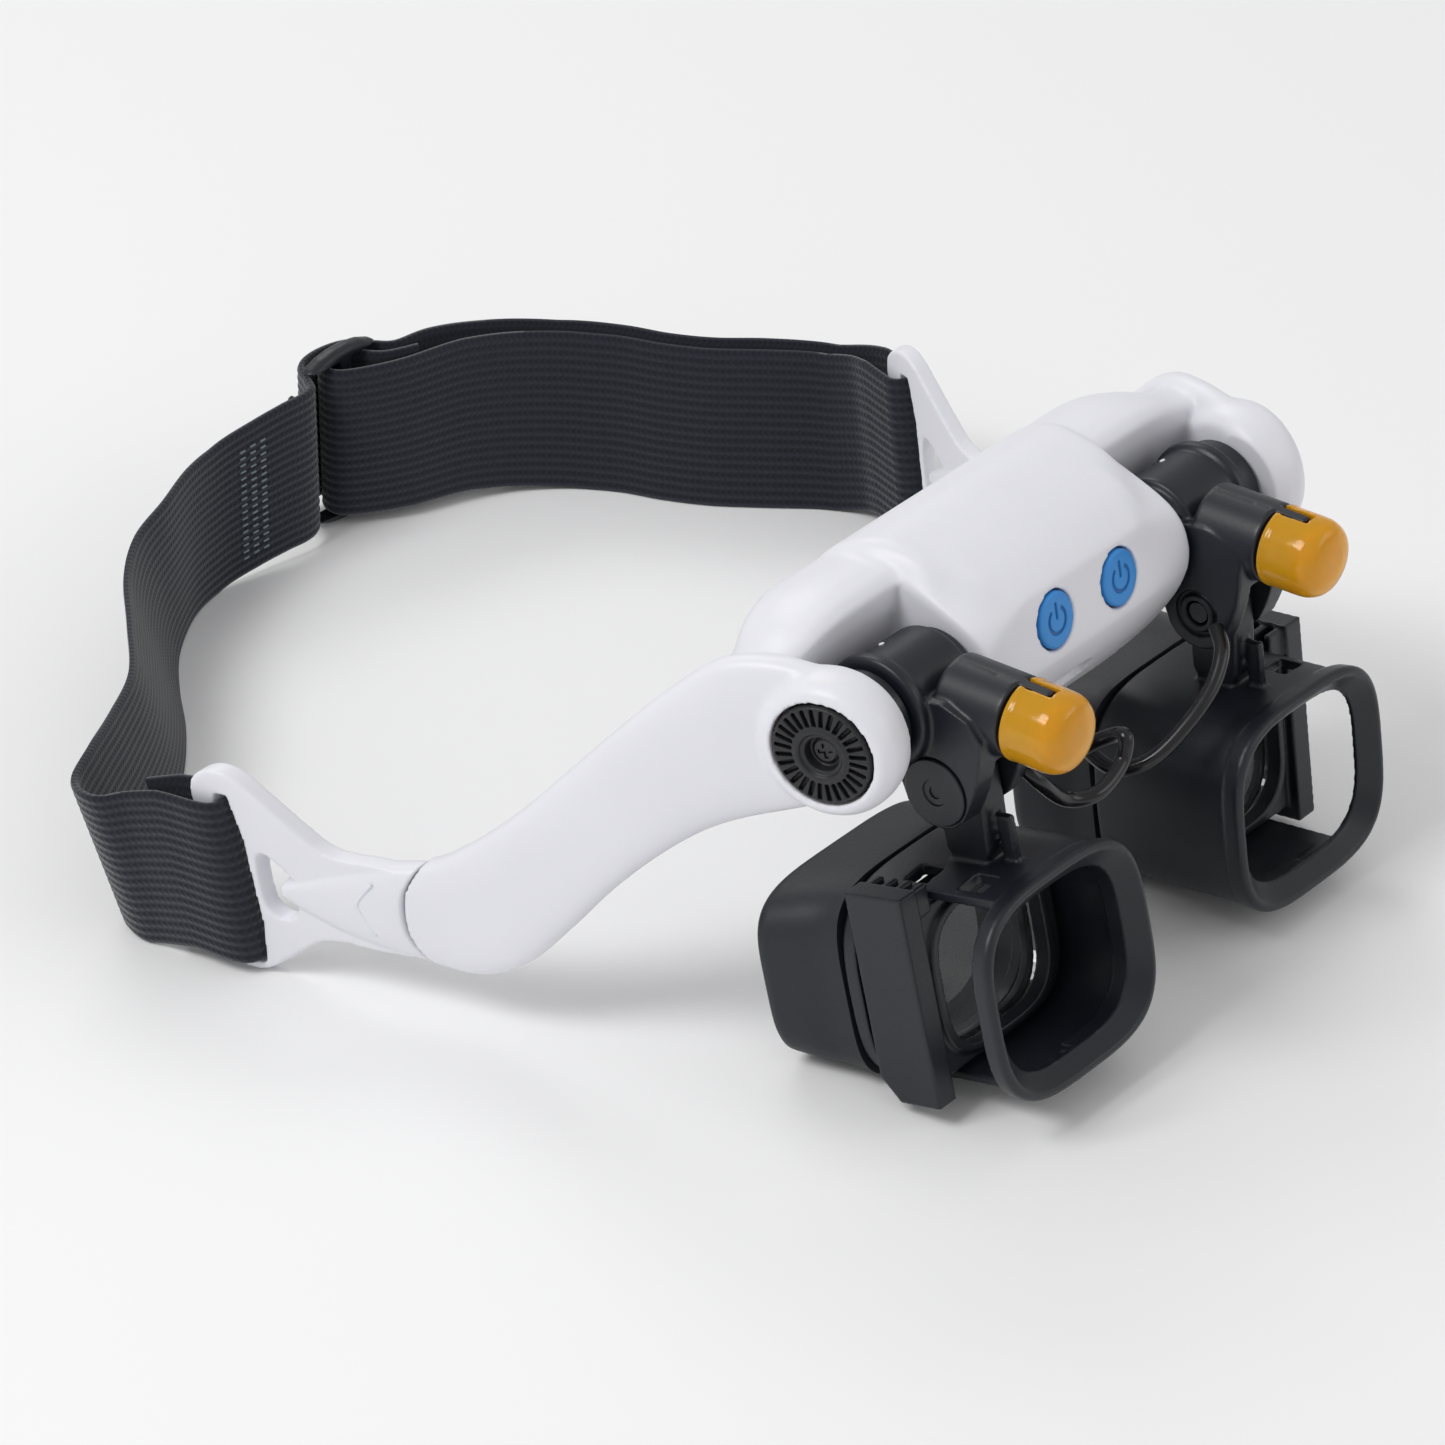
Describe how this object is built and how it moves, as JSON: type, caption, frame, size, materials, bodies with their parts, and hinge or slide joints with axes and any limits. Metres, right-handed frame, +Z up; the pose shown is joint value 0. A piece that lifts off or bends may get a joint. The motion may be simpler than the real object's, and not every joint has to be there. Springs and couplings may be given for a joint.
{
  "type": "head visor magnifier",
  "caption": "White head-worn frame with hinged black magnifier tubes, swap-in lenses, amber-capped lamps and a webbing strap.",
  "frame": {"origin": "centre of the footprint on the surface the object lies on, the way it is put down on a table", "axes": "+X towards the wearer's left, -Y towards the front where the lamps point, +Z up from the table"},
  "size_m": [0.1662, 0.1874, 0.0665],
  "materials": {
    "white_shell": "satin white moulded ABS",
    "black_shell": "satin black moulded ABS",
    "black_knob": "matt black plastic with moulded grooves",
    "soft_black": "soft matt black rubber",
    "button_blue": "smooth blue plastic",
    "amber": "clear amber moulded plastic",
    "lens_glass": "polished clear lens",
    "metal": "plain turned steel",
    "reflector": "bright turned aluminium",
    "led_yellow": "clear cast resin",
    "board": "green coated laminate",
    "cell": "wrapped pouch cell",
    "webbing": "ribbed woven elastic",
    "cable": "smooth black sheath"
  },
  "bodies": {
    "frame": {"front_casing": "white_shell", "rear_cover": "white_shell", "circuit_board": "board", "battery": "cell", "usb_socket": "metal", "strap_hook_right": "white_shell", "strap_hook_left": "white_shell", "hinge_shaft_right": "metal", "hinge_shaft_left": "metal", "barrel_drum_right": "black_shell", "barrel_drum_left": "black_shell", "lamp_cable_right": "cable", "lamp_cable_left": "cable", "head_strap": "webbing", "strap_buckle": "black_shell"},
    "button_right": {"button_right": "button_blue"},
    "knob_right": {"side_knob_right": "black_knob"},
    "lamp_unit_right": {"lamp_bracket_right": "black_shell", "pivot_cover_right": "black_knob", "pivot_pin_right": "metal", "led_holder_right": "reflector", "led_right": "led_yellow"},
    "cap_right": {"lamp_cap_right": "amber"},
    "eye_unit_right": {"eye_tube_right": "black_shell", "eye_cup_right": "soft_black"},
    "cartridge_right": {"lens_cartridge_right": "black_shell", "lens_right": "lens_glass"},
    "button_left": {"button_left": "button_blue"},
    "knob_left": {"side_knob_left": "black_knob"},
    "lamp_unit_left": {"lamp_bracket_left": "black_shell", "pivot_cover_left": "black_knob", "pivot_pin_left": "metal", "led_holder_left": "reflector", "led_left": "led_yellow"},
    "cap_left": {"lamp_cap_left": "amber"},
    "eye_unit_left": {"eye_tube_left": "black_shell", "eye_cup_left": "soft_black"},
    "cartridge_left": {"lens_cartridge_left": "black_shell", "lens_left": "lens_glass"}
  },
  "joints": [
    {"name": "press_right", "type": "slide", "parent": "frame", "child": "button_right", "axis": [0, 0.9806, -0.1959], "range_m": [0, 0.0008], "stiffness_N_per_m": 1500},
    {"name": "turn_knob_right", "type": "hinge", "parent": "frame", "child": "knob_right", "pos_m": [-0.04295, -0.0622, 0.05305], "axis": [-0.9781, -0.2079, 0], "range_deg": [-180, 180]},
    {"name": "flip_right", "type": "hinge", "parent": "frame", "child": "lamp_unit_right", "pos_m": [-0.02665, -0.0622, 0.05305], "axis": [-1, 0, 0], "range_deg": [0, 80]},
    {"name": "pull_cap_right", "type": "slide", "parent": "lamp_unit_right", "child": "cap_right", "axis": [0, -0.9997, 0.0262], "range_m": [0, 0.014]},
    {"name": "tilt_right", "type": "hinge", "parent": "lamp_unit_right", "child": "eye_unit_right", "pos_m": [-0.02665, -0.0711, 0.04365], "axis": [-1, 0, 0], "range_deg": [-8, 8]},
    {"name": "slide_lens_right", "type": "slide", "parent": "eye_unit_right", "child": "cartridge_right", "axis": [-1, 0, 0], "range_m": [0, 0.032]},
    {"name": "press_left", "type": "slide", "parent": "frame", "child": "button_left", "axis": [0, 0.9806, -0.1959], "range_m": [0, 0.0008], "stiffness_N_per_m": 1500},
    {"name": "turn_knob_left", "type": "hinge", "parent": "frame", "child": "knob_left", "pos_m": [0.04705, -0.0622, 0.05305], "axis": [0.9781, -0.2079, 0], "range_deg": [-180, 180]},
    {"name": "flip_left", "type": "hinge", "parent": "frame", "child": "lamp_unit_left", "pos_m": [0.03075, -0.0622, 0.05305], "axis": [-1, 0, 0], "range_deg": [0, 80]},
    {"name": "pull_cap_left", "type": "slide", "parent": "lamp_unit_left", "child": "cap_left", "axis": [0, -0.9997, 0.0262], "range_m": [0, 0.014]},
    {"name": "tilt_left", "type": "hinge", "parent": "lamp_unit_left", "child": "eye_unit_left", "pos_m": [0.03075, -0.0711, 0.04365], "axis": [-1, 0, 0], "range_deg": [-4, 12]},
    {"name": "slide_lens_left", "type": "slide", "parent": "eye_unit_left", "child": "cartridge_left", "axis": [1, 0, 0], "range_m": [0, 0.032]}
  ]
}
